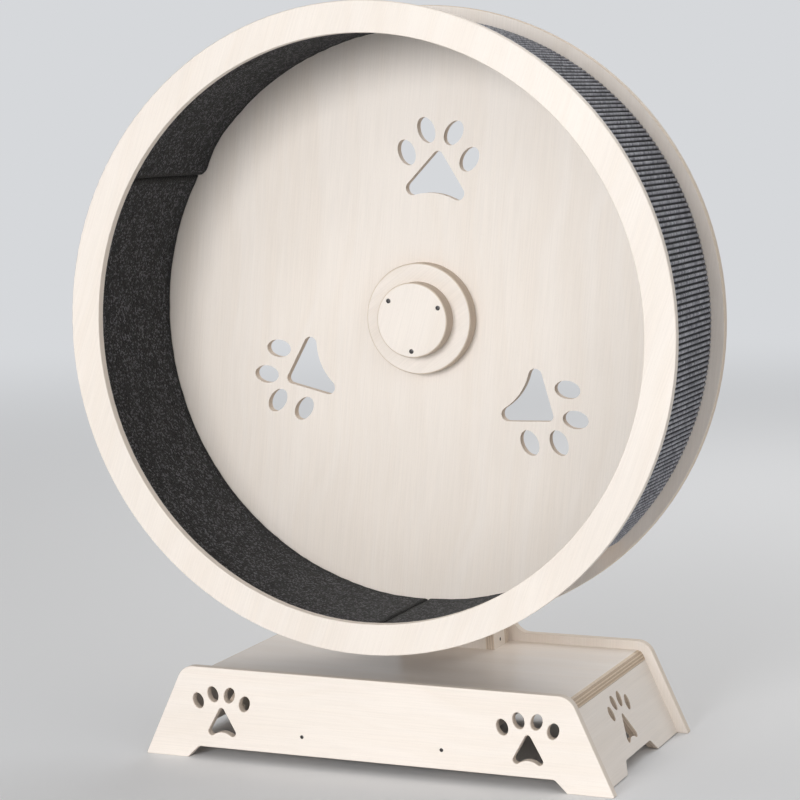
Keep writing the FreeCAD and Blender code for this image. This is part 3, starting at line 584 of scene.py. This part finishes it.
pile = {    # the carpet's colours and its loops, with painted shade between the loops, at the cut ends and along the disc
    "dark": paint(15, 15, 17), "mid": paint(35, 35, 38), "fleck": paint(104, 104, 108),
    "loop": 0.0027, "rowSquash": 0.80, "scatter": 0.9,
    "stray": 240.0, "strayReach": 0.0016,
    "clump": (26.0, 60.0, 0.0), "clumpShare": 0.7,
    "midShare": 0.85, "fleckFrom": (0.66, 0.80), "fleckShare": 0.9,
    "loopPaintedShadeFrom": (0.15, 0.75), "loopPaintedShade": (1.12, 0.42),
    "fibre": 1700.0, "fibreFrom": (0.25, 0.75), "fibreTone": (0.74, 1.26),
    "worn": 5.0, "wornTone": (0.90, 1.12),
    "paintedEndShade": (0.0045, 0.012, (0.03, 1.0)),     # painted shade: the pile is dark this near a cut end, standing in for the seam's shadow
    "paintedDiscShade": (0.005, 0.015, (0.08, 1.0)),     # painted shade: and this near the disc, standing in for the contact shadow there
    "rough": (0.86, 1.0), "bump": 0.0011, "bumpStrength": 0.9,
    "loopHeight": (0.0, 0.85, (1.0, 0.0)), "fibreHeight": 0.35,
    "shine": 0.15, "sheen": 0.12, "sheenRoughness": 0.6,
}


def onLength(tree, way):    # a cloth coordinate without its length's own seed
    return calc(tree, "MODULO", minus(tree, way, carpet["firstSeed"]), carpet["seedStep"])


def makeCarpetFinish():
    finish, tree, shader = startFinish("loopCarpet")
    flat = clothPoint(tree)
    u, v = unstack(tree, flat)[:2]
    stray = times(tree, fromMiddle(tree, noise(tree, flat, pile["stray"])), pile["strayReach"])
    rows = stack(tree, plus(tree, u, stray),
                 times(tree, plus(tree, v, stray), pile["rowSquash"]))
    reach, own, second = cells(tree, rows, 1 / pile["loop"], pile["scatter"])
    clump = noise(tree, stretched(tree, u, v, 0.0, pile["clump"]))
    worn = noise(tree, flat, pile["worn"])
    fibre = noise(tree, flat, pile["fibre"], roughness=0.7)
    pale = plus(tree, own, times(tree, fromMiddle(tree, clump), pile["clumpShare"]))
    pale = ramp(tree, pale, *pile["fleckFrom"])
    colour = blendColours(tree, times(tree, second, pile["midShare"]), pile["dark"], pile["mid"])
    colour = blendColours(tree, times(tree, pale, pile["fleckShare"]), colour, pile["fleck"])
    # painted light and shade on each loop: lighter at its crown, darker in the crevices between loops; the fibre
    # noise is the pile's own tone
    colour = brighten(tree, colour,
                      times(tree, ramp(tree, reach, *pile["loopPaintedShadeFrom"], pile["loopPaintedShade"]),
                            ramp(tree, fibre, *pile["fibreFrom"], pile["fibreTone"])))
    colour = brighten(tree, colour, ramp(tree, worn, *middling, pile["wornTone"]))
    # painted shade: darker towards each cut end and along the disc
    place = onLength(tree, u)
    fromEnd = calc(tree, "MINIMUM", place, minus(tree, carpetArc, place))
    colour = brighten(tree, colour, ramp(tree, fromEnd, *pile["paintedEndShade"]))
    fromDisc = minus(tree, carpetWidth, onLength(tree, v))
    colour = brighten(tree, colour, ramp(tree, fromDisc, *pile["paintedDiscShade"]))
    plug(tree, shader.inputs["Base Color"], colour)
    plug(tree, shader.inputs["Roughness"], ramp(tree, fibre, *wide, pile["rough"]))
    height = plus(tree, ramp(tree, reach, *pile["loopHeight"]),
                  times(tree, fibre, pile["fibreHeight"]))
    plug(tree, shader.inputs["Normal"], raised(tree, height, pile["bump"], pile["bumpStrength"]))
    shader.inputs["Specular IOR Level"].default_value = pile["shine"]
    shader.inputs["Sheen Weight"].default_value = pile["sheen"]
    shader.inputs["Sheen Roughness"].default_value = pile["sheenRoughness"]
    return finish


carpetFinish = makeCarpetFinish()
for number, (name, facts) in enumerate(carpetLengths.items()):
    makeCarpet(name, *facts, seed=number * carpet["seedStep"] + carpet["firstSeed"])
print("carpet:", len(carpetLengths), "lengths")


# The ribbed mat round the outside: one strip whose ribs run across it, rolled round the drum.
gripMat = {
    "inner": 0.4750, "width": 0.2496, "front": -0.2098,
    "ribs": 354, "stepsInRib": 8, "stepsAcross": 16,
    "base": 0.0026, "ribHeight": 0.0030, "ribShare": 0.70,
    "joint": -50.0, "gap": 0.0500,
    "uneven": (70.0, 45.0, 0.0), "unevenReach": 0.26,
    "thread": (230.0, 420.0, 0.0), "threadLow": 0.72, "threadShare": 0.40,
    "selvage": 0.004, "selvageShare": 0.55,    # the ribs run low into the mat's two long sides
}
matLength = 2 * math.pi * gripMat["inner"] - gripMat["gap"]


def makeMatTree():
    tree = bpy.data.node_groups.new("ribbedMat", "GeometryNodeTree")
    face = tree.interface
    inputs = []
    for name, kind, value in (("Radius", "Float", gripMat["inner"]),
                              ("Width", "Float", gripMat["width"]),
                              ("Ribs", "Int", gripMat["ribs"]),
                              ("Steps in a rib", "Int", gripMat["stepsInRib"]),
                              ("Steps across", "Int", gripMat["stepsAcross"]),
                              ("Base", "Float", gripMat["base"]),
                              ("Rib height", "Float", gripMat["ribHeight"]),
                              ("Rib share", "Float", gripMat["ribShare"]),
                              ("Start angle", "Float", math.radians(gripMat["joint"])),
                              ("Gap", "Float", gripMat["gap"]),
                              ("Front", "Float", gripMat["front"]),
                              ("Axle height", "Float", axleHeight),
                              ("Finish", "Material", makeMatFinish())):
        socket = face.new_socket(name, in_out="INPUT", socket_type="NodeSocket" + kind)
        inputs.append((socket.identifier, value))
    face.new_socket("Geometry", in_out="OUTPUT", socket_type="NodeSocketGeometry")
    given = tree.nodes.new("NodeGroupInput").outputs
    out = tree.nodes.new("NodeGroupOutput")

    # the strip, flat: x along it, y across it, z through it
    length = minus(tree, times(tree, given["Radius"], 2 * math.pi), given["Gap"])
    strip = tree.nodes.new("GeometryNodeMeshCube")
    plug(tree, strip.inputs["Size"], stack(tree, length, given["Width"], given["Base"]))
    plug(tree, strip.inputs["Vertices X"],
         plus(tree, times(tree, given["Ribs"], given["Steps in a rib"]), 1.0))
    plug(tree, strip.inputs["Vertices Y"], plus(tree, given["Steps across"], 1.0))
    strip.inputs["Vertices Z"].default_value = 2
    x, y, z = unstack(tree, tree.nodes.new("GeometryNodeInputPosition").outputs[0])
    cloth = tree.nodes.new("GeometryNodeStoreNamedAttribute")
    cloth.data_type = "FLOAT2"
    cloth.domain = "CORNER"
    cloth.inputs["Name"].default_value = "cloth"
    tree.links.new(strip.outputs["Mesh"], cloth.inputs["Geometry"])
    fromEnd = plus(tree, x, times(tree, length, 0.5))
    plug(tree, cloth.inputs["Value"], stack(tree, fromEnd, y))

    # ribs: a rounded swelling once in each pitch, uneven by a little
    pitch = calc(tree, "DIVIDE", length, given["Ribs"])
    uneven = noise(tree, stretched(tree, x, y, 0.0, gripMat["uneven"]))
    shift = times(tree, fromMiddle(tree, uneven), gripMat["unevenReach"])
    inPitch = calc(tree, "FRACT", plus(tree, calc(tree, "DIVIDE", fromEnd, pitch), shift))
    off = calc(tree, "DIVIDE", fromMiddle(tree, inPitch), times(tree, given["Rib share"], 0.5))
    under = calc(tree, "MAXIMUM", minus(tree, 1.0, times(tree, off, off)), 0.0)
    thread = noise(tree, stretched(tree, x, y, 0.0, gripMat["thread"]), detail=1.0)
    swell = times(tree, calc(tree, "SQRT", under),
                  plus(tree, gripMat["threadLow"], times(tree, thread, gripMat["threadShare"])))
    fromSide = minus(tree, times(tree, given["Width"], 0.5), calc(tree, "ABSOLUTE", y))
    swell = times(tree, swell, ramp(tree, fromSide, 0.0, gripMat["selvage"],
                                    (gripMat["selvageShare"], 1.0)))
    onTop = calc(tree, "GREATER_THAN", z, 0.0)
    height = times(tree, times(tree, swell, given["Rib height"]), onTop)

    # rolled round the drum
    radius = plus(tree, plus(tree, given["Radius"], times(tree, given["Base"], 0.5)),
                  plus(tree, z, height))
    travelled = plus(tree, fromEnd, times(tree, given["Gap"], 0.5))
    angle = minus(tree, given["Start angle"], calc(tree, "DIVIDE", travelled, given["Radius"]))
    middle = plus(tree, given["Front"], times(tree, given["Width"], 0.5))
    high = plus(tree, given["Axle height"], times(tree, radius, calc(tree, "SINE", angle)))
    rolled = tree.nodes.new("GeometryNodeSetPosition")
    tree.links.new(cloth.outputs["Geometry"], rolled.inputs["Geometry"])
    plug(tree, rolled.inputs["Position"],
         stack(tree, times(tree, radius, calc(tree, "COSINE", angle)), plus(tree, y, middle), high))
    smooth = tree.nodes.new("GeometryNodeSetShadeSmooth")
    tree.links.new(rolled.outputs["Geometry"], smooth.inputs["Geometry"])
    endTree(tree, smooth.outputs["Geometry"], given["Finish"], out)
    return tree, inputs


weave = {    # the mat's colours, the twisted threads that cover each rib, and painted shade in the valleys between ribs and in the grooves between threads
    "pale": paint(208, 209, 217), "deep": paint(120, 121, 131), "valleyPaintedShade": paint(16, 16, 22),
    "valleyPaintedShadeFrom": (0.18, 0.38),
    "thread": 0.0031, "slant": 1.1, "wander": 1.5, "paleShare": 0.85,
    "threadFrom": (0.18, 0.5), "threadPaintedShade": (1.10, 0.66),
    "fibre": (900.0, 1700.0, 0.0), "fibreFrom": (0.25, 0.75), "fibreTone": (0.78, 1.2),
    "worn": (5.0, 12.0, 0.0), "wornTone": (0.90, 1.10),
    "rough": (0.78, 0.95), "bump": 0.0007, "bumpStrength": 0.8,
    "threadHeight": (0.1, 0.5, (1.0, 0.0)), "fibreHeight": 0.4,
    "shine": 0.2, "sheen": 0.15,
}


def makeMatFinish():
    finish, tree, shader = startFinish("ribbedMat")
    u, v = unstack(tree, clothPoint(tree))[:2]
    level = calc(tree, "DIVIDE", u, matLength / gripMat["ribs"])
    rib = calc(tree, "FLOOR", level)
    inPitch = fromMiddle(tree, calc(tree, "FRACT", level))
    # painted shade: the flat valleys between the ribs turn near black
    inValleyShade = ramp(tree, calc(tree, "ABSOLUTE", inPitch), *weave["valleyPaintedShadeFrom"])
    uneven = noise(tree, stretched(tree, u, v, 0.0, gripMat["uneven"]))
    slant = plus(tree, calc(tree, "DIVIDE", v, weave["thread"]),
                 times(tree, inPitch, weave["slant"]))
    slant = plus(tree, slant, times(tree, uneven, weave["wander"]))
    inThread = calc(tree, "ABSOLUTE", fromMiddle(tree, calc(tree, "FRACT", slant)))
    own = chance(tree, stack(tree, calc(tree, "FLOOR", slant), rib))
    fibre = noise(tree, stretched(tree, u, v, 0.0, weave["fibre"]), roughness=0.7)
    worn = noise(tree, stretched(tree, u, v, 0.0, weave["worn"]))
    colour = blendColours(tree, times(tree, own, weave["paleShare"]), weave["deep"], weave["pale"])
    # painted light and shade on each thread: lighter along its crown, darker in the grooves between threads
    colour = brighten(tree, colour,
                      times(tree, ramp(tree, inThread, *weave["threadFrom"], weave["threadPaintedShade"]),
                            ramp(tree, fibre, *weave["fibreFrom"], weave["fibreTone"])))
    colour = brighten(tree, colour, ramp(tree, worn, *middling, weave["wornTone"]))
    plug(tree, shader.inputs["Base Color"], blendColours(tree, inValleyShade, colour, weave["valleyPaintedShade"]))
    plug(tree, shader.inputs["Roughness"], ramp(tree, fibre, *wide, weave["rough"]))
    height = plus(tree, ramp(tree, inThread, *weave["threadHeight"]),
                  times(tree, fibre, weave["fibreHeight"]))
    plug(tree, shader.inputs["Normal"], raised(tree, height, weave["bump"], weave["bumpStrength"]))
    shader.inputs["Specular IOR Level"].default_value = weave["shine"]
    shader.inputs["Sheen Weight"].default_value = weave["sheen"]
    return finish


mat = grown("grip_mat_ribbed", *makeMatTree())
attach(mat, "wheel")
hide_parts("outer_grip_mat")
print("mat:", gripMat["ribs"], "ribs,", len(mat.data.polygons), "faces")


# Screws and bolts: one turned shape with a hexagon socket, set wherever the CAD has one.
screwShape = {    # widths as shares of the head's, depths as shares of its height
    "around": 24, "socketAcross": 0.46, "socketDepth": 0.58, "flat": 0.80,
    "shoulder": 0.94, "shoulderDrop": 0.09, "chamferDrop": 0.26,
    "tip": 0.22,                            # the point's end, as a share of the shank
    "socketRows": 2.5,                      # rows of the outline before this one are six-sided
    "sharp": 25.0, "near": 1.05, "merge": 0.00001, "seed": 7,
}
screwSizes = ("Head", "Head height", "Shank", "Length", "Point")
screws = {    # the way the heads face (0 is outwards on both sides), then those sizes in mm
    "hub_cap_screws": ((0, -1, 0), 7.6, 2.2, 4.0, 40.0, 4.0),
    "hub_bolts": ((0, 1, 0), 11.0, 3.5, 6.0, 56.0, 1.0),
    "front_stretcher_screws": ((0, -1, 0), 6.0, 1.6, 3.5, 40.0, 3.5),
    "rear_stretcher_screws": ((0, 1, 0), 6.0, 1.6, 3.5, 40.0, 3.5),
    "post_foot_screws": (0, 6.0, 1.6, 3.5, 32.0, 3.5),
    "foot_block_screws": ((0, 0, -1), 8.0, 2.5, 4.0, 34.0, 4.0),
    "flange_plate_screws": ((0, -1, 0), 8.0, 2.5, 4.0, 14.0, 4.0),
    "column_bolts": ((0, 1, 0), 14.0, 4.5, 8.0, 49.5, 1.0),
}
darkScrews = ("hub_cap_screws", "front_stretcher_screws", "rear_stretcher_screws",
              "post_foot_screws")


def screwPlaces(name, way, head):    # middle of each head's top, and the way it faces
    left = pointsOf(frame["nodes"][name].data)
    places = []
    while len(left):
        facing = np.array(way or (math.copysign(1.0, left[0][0]), 0, 0), float)
        level = left - np.outer(left @ facing, facing)
        near = np.linalg.norm(level - level[0], axis=1) < head * screwShape["near"]
        if not way:
            near &= np.sign(left[:, 0]) == facing[0]
        own = level[near]
        middle = (own.min(0) + own.max(0)) / 2
        places.append((middle + facing * (left[near] @ facing).max(), facing))
        left = left[~near]
    return places


def screwOutline(tree, given):    # from the socket's middle over the head and down to the tip
    radius = times(tree, given["Head"], 0.5)
    high = given["Head height"]
    thin = times(tree, given["Shank"], 0.5)
    socket = times(tree, radius, screwShape["socketAcross"])
    pocket = times(tree, high, -screwShape["socketDepth"])
    under = times(tree, high, -1.0)
    end = minus(tree, under, given["Length"])
    return [(0.0, pocket), (socket, pocket), (socket, 0.0),
            (times(tree, radius, screwShape["flat"]), 0.0),
            (times(tree, radius, screwShape["shoulder"]),
             times(tree, high, -screwShape["shoulderDrop"])),
            (radius, times(tree, high, -screwShape["chamferDrop"])), (radius, under),
            (thin, under), (thin, plus(tree, end, given["Point"])),
            (times(tree, thin, screwShape["tip"]), end), (0.0, end)]


def makeScrewTree():
    tree = bpy.data.node_groups.new("turnedScrew", "GeometryNodeTree")
    face = tree.interface
    face.new_socket("Geometry", in_out="INPUT", socket_type="NodeSocketGeometry")
    sockets = {}
    for name in screwSizes + ("Finish",):
        kind = "NodeSocketMaterial" if name == "Finish" else "NodeSocketFloat"
        sockets[name] = face.new_socket(name, in_out="INPUT", socket_type=kind).identifier
    face.new_socket("Geometry", in_out="OUTPUT", socket_type="NodeSocketGeometry")
    given = tree.nodes.new("NodeGroupInput").outputs
    out = tree.nodes.new("NodeGroupOutput")

    # a grid: its rows are the outline's points, turned round the screw's axis
    outline = screwOutline(tree, given)
    sheet = tree.nodes.new("GeometryNodeMeshGrid")
    sheet.inputs["Vertices X"].default_value = screwShape["around"] + 1
    sheet.inputs["Vertices Y"].default_value = len(outline)
    x, y = unstack(tree, tree.nodes.new("GeometryNodeInputPosition").outputs[0])[:2]
    angle = times(tree, plus(tree, x, 0.5), 2 * math.pi)
    row = calc(tree, "ROUND", times(tree, plus(tree, y, 0.5), len(outline) - 1.0))
    picked = []
    for side in (0, 1):
        choose = tree.nodes.new("GeometryNodeIndexSwitch")
        choose.data_type = "FLOAT"
        while len(choose.index_switch_items) < len(outline):
            choose.index_switch_items.new()
        plug(tree, choose.inputs[0], row)
        for number, point in enumerate(outline):
            plug(tree, choose.inputs[number + 1], point[side])
        picked.append(choose.outputs[0])
    sixth = minus(tree, calc(tree, "MODULO", angle, math.pi / 3), math.pi / 6)
    sixSided = calc(tree, "DIVIDE", 1.0, calc(tree, "COSINE", sixth))
    inSocket = calc(tree, "LESS_THAN", row, screwShape["socketRows"])
    reach = times(tree, picked[0],
                  plus(tree, 1.0, times(tree, inSocket, minus(tree, sixSided, 1.0))))
    lathe = tree.nodes.new("GeometryNodeSetPosition")
    tree.links.new(sheet.outputs["Mesh"], lathe.inputs["Geometry"])
    plug(tree, lathe.inputs["Position"],
         stack(tree, times(tree, reach, calc(tree, "COSINE", angle)),
               times(tree, reach, calc(tree, "SINE", angle)), picked[1]))
    closed = tree.nodes.new("GeometryNodeMergeByDistance")
    tree.links.new(lathe.outputs["Geometry"], closed.inputs["Geometry"])
    closed.inputs["Distance"].default_value = screwShape["merge"]

    # one on each place, every one stopped at its own turn
    way = tree.nodes.new("GeometryNodeInputNamedAttribute")
    way.data_type = "FLOAT_VECTOR"
    way.inputs["Name"].default_value = "way"
    facing = tree.nodes.new("FunctionNodeAlignRotationToVector")
    facing.axis = "Z"
    tree.links.new(way.outputs["Attribute"], facing.inputs["Vector"])
    draw = tree.nodes.new("FunctionNodeRandomValue")
    draw.data_type = "FLOAT"
    draw.inputs["Seed"].default_value = screwShape["seed"]
    number = [socket for socket in draw.outputs if socket.enabled][0]
    spin = tree.nodes.new("FunctionNodeAxisAngleToRotation")
    spin.inputs["Axis"].default_value = (0.0, 0.0, 1.0)
    plug(tree, spin.inputs["Angle"], times(tree, number, math.pi / 3))
    stopped = tree.nodes.new("FunctionNodeRotateRotation")
    stopped.rotation_space = "LOCAL"
    tree.links.new(facing.outputs[0], stopped.inputs[0])
    tree.links.new(spin.outputs[0], stopped.inputs[1])
    copies = tree.nodes.new("GeometryNodeInstanceOnPoints")
    tree.links.new(given["Geometry"], copies.inputs["Points"])
    tree.links.new(closed.outputs["Geometry"], copies.inputs["Instance"])
    tree.links.new(stopped.outputs[0], copies.inputs["Rotation"])
    endTree(tree, copies.outputs[0], given["Finish"], out)
    return tree, sockets


def makeScrews(node, way, *lengths):
    places = screwPlaces(node, way, lengths[0] / 1000)
    seat = bpy.data.meshes.new(node + ".seat")
    seat.from_pydata([tuple(place) for place, _ in places], [], [])
    seat.attributes.new("way", "FLOAT_VECTOR", "POINT").data.foreach_set(
        "vector", np.array([facing for _, facing in places], np.float32).ravel())
    inputs = [(screwSockets[name], length / 1000) for name, length in zip(screwSizes, lengths)]
    finish = hardwareFinish["darkSteel" if node in darkScrews else "zincSteel"]
    piece = grown("turned_" + node, screwTree, inputs + [(screwSockets["Finish"], finish)], seat)
    turnOutwards(piece.data)
    piece.data.set_sharp_from_angle(angle=math.radians(screwShape["sharp"]))
    bodies = frame["record"]["behaviour"]["bodies"]
    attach(piece, [name for name, nodes in bodies.items() if node in nodes][0])
    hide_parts(node)
    return len(places)


screwTree, screwSockets = makeScrewTree()
print("screws:", {node: makeScrews(node, *facts) for node, facts in screws.items()})


# Camera, floor and light.
cameraPlace = {"position": (1.487416, -3.597227, 1.041816), "yaw": 0.3987353533,
               "dip": 0.1218771344, "roll": -0.0175572265, "lens": 109.526, "sensor": 36.0}


def setCamera(place):
    yaw, dip, roll = place["yaw"], place["dip"], place["roll"]
    forward = Vector((-math.sin(yaw) * math.cos(dip), math.cos(yaw) * math.cos(dip),
                      -math.sin(dip)))
    level = Vector((math.cos(yaw), math.sin(yaw), 0.0))
    upright = level.cross(forward)
    right = math.cos(roll) * level + math.sin(roll) * upright
    up = math.cos(roll) * upright - math.sin(roll) * level
    lens = bpy.data.cameras.new("photoCamera")
    lens.sensor_width = place["sensor"]
    lens.lens = place["lens"]
    turn = Matrix((right, up, -forward)).transposed().to_4x4()
    camera = placeInScene("photoCamera", lens)
    camera.matrix_world = Matrix.Translation(place["position"]) @ turn
    bpy.context.scene.camera = camera


studio = {
    "backdrop": paint(214, 216, 219),
    "floor": paint(236, 237, 239), "floorRoughness": 0.75, "floorShine": 0.1,
    "floorReach": 40.0, "floorSides": 96, "fadeFrom": 1.6, "fadeTo": 7.0,
    "room": paint(255, 254, 252), "roomLight": 0.42,
    "lamps": {    # where each stands, what it looks at, its size and its power
        "key": ((-0.75, -7.6, 2.05), (0.0, 0.0, 0.65), 3.0, 322.0),
        "fill": ((3.2, -2.6, 1.9), (0.0, 0.0, 0.6), 2.6, 16.0),
        "back": ((0.6, 3.4, 2.9), (0.0, 0.0, 0.7), 2.4, 50.0),
    },
}


def seenDirectly(tree):    # 1 for a look from the camera, a mirror or through glass
    path = tree.nodes.new("ShaderNodeLightPath").outputs
    most = calc(tree, "MAXIMUM", path["Is Camera Ray"], path["Is Glossy Ray"])
    return calc(tree, "MAXIMUM", most, path["Is Transmission Ray"])


def mixShaders(tree, share, first, second, out):
    mix = tree.nodes.new("ShaderNodeMixShader")
    plug(tree, mix.inputs[0], share)
    tree.links.new(first.outputs[0], mix.inputs[1])
    tree.links.new(second.outputs[0], mix.inputs[2])
    tree.links.new(mix.outputs[0], out.inputs["Surface"])


def makeRoom():
    world = bpy.data.worlds.new("studio")
    bpy.context.scene.world = world
    world.use_nodes = True
    tree = world.node_tree
    tree.nodes.clear()
    room = tree.nodes.new("ShaderNodeBackground")
    room.inputs["Color"].default_value = studio["room"]
    room.inputs["Strength"].default_value = studio["roomLight"]
    wall = tree.nodes.new("ShaderNodeBackground")
    wall.inputs["Color"].default_value = studio["backdrop"]
    mixShaders(tree, seenDirectly(tree), room, wall, tree.nodes.new("ShaderNodeOutputWorld"))


def makeFloor():    # a round floor that fades into the backdrop
    finish, tree, shader = startFinish("paleFloor")
    shader.inputs["Base Color"].default_value = studio["floor"]
    shader.inputs["Roughness"].default_value = studio["floorRoughness"]
    shader.inputs["Specular IOR Level"].default_value = studio["floorShine"]
    glow = tree.nodes.new("ShaderNodeEmission")
    glow.inputs["Color"].default_value = studio["backdrop"]
    plug(tree, glow.inputs["Strength"], seenDirectly(tree))
    length = tree.nodes.new("ShaderNodeVectorMath")
    length.operation = "LENGTH"
    tree.links.new(objectPoint(tree), length.inputs[0])
    far = ramp(tree, length.outputs["Value"], studio["fadeFrom"], studio["fadeTo"])
    out = [node for node in tree.nodes if node.type == "OUTPUT_MATERIAL"][0]
    mixShaders(tree, far, shader, glow, out)

    sides, reach = studio["floorSides"], studio["floorReach"]
    turns = [2 * math.pi * i / sides for i in range(sides)]
    mesh = bpy.data.meshes.new("floor")
    mesh.from_pydata([(reach * math.cos(turn), reach * math.sin(turn), 0.0) for turn in turns],
                     [], [list(range(sides))])
    mesh.materials.append(finish)
    placeInScene("floor", mesh)


def hangLamps():
    for name, (place, aim, size, power) in studio["lamps"].items():
        light = bpy.data.lights.new(name, "AREA")
        light.shape = "DISK"
        light.size = size
        light.energy = power
        lamp = placeInScene(name, light)
        lamp.location = place
        look = Vector(aim) - Vector(place)
        lamp.rotation_euler = look.to_track_quat("-Z", "Y").to_euler()


setCamera(cameraPlace)
makeRoom()
makeFloor()
hangLamps()
bpy.context.scene.view_settings.view_transform = "Standard"
print("studio ready")
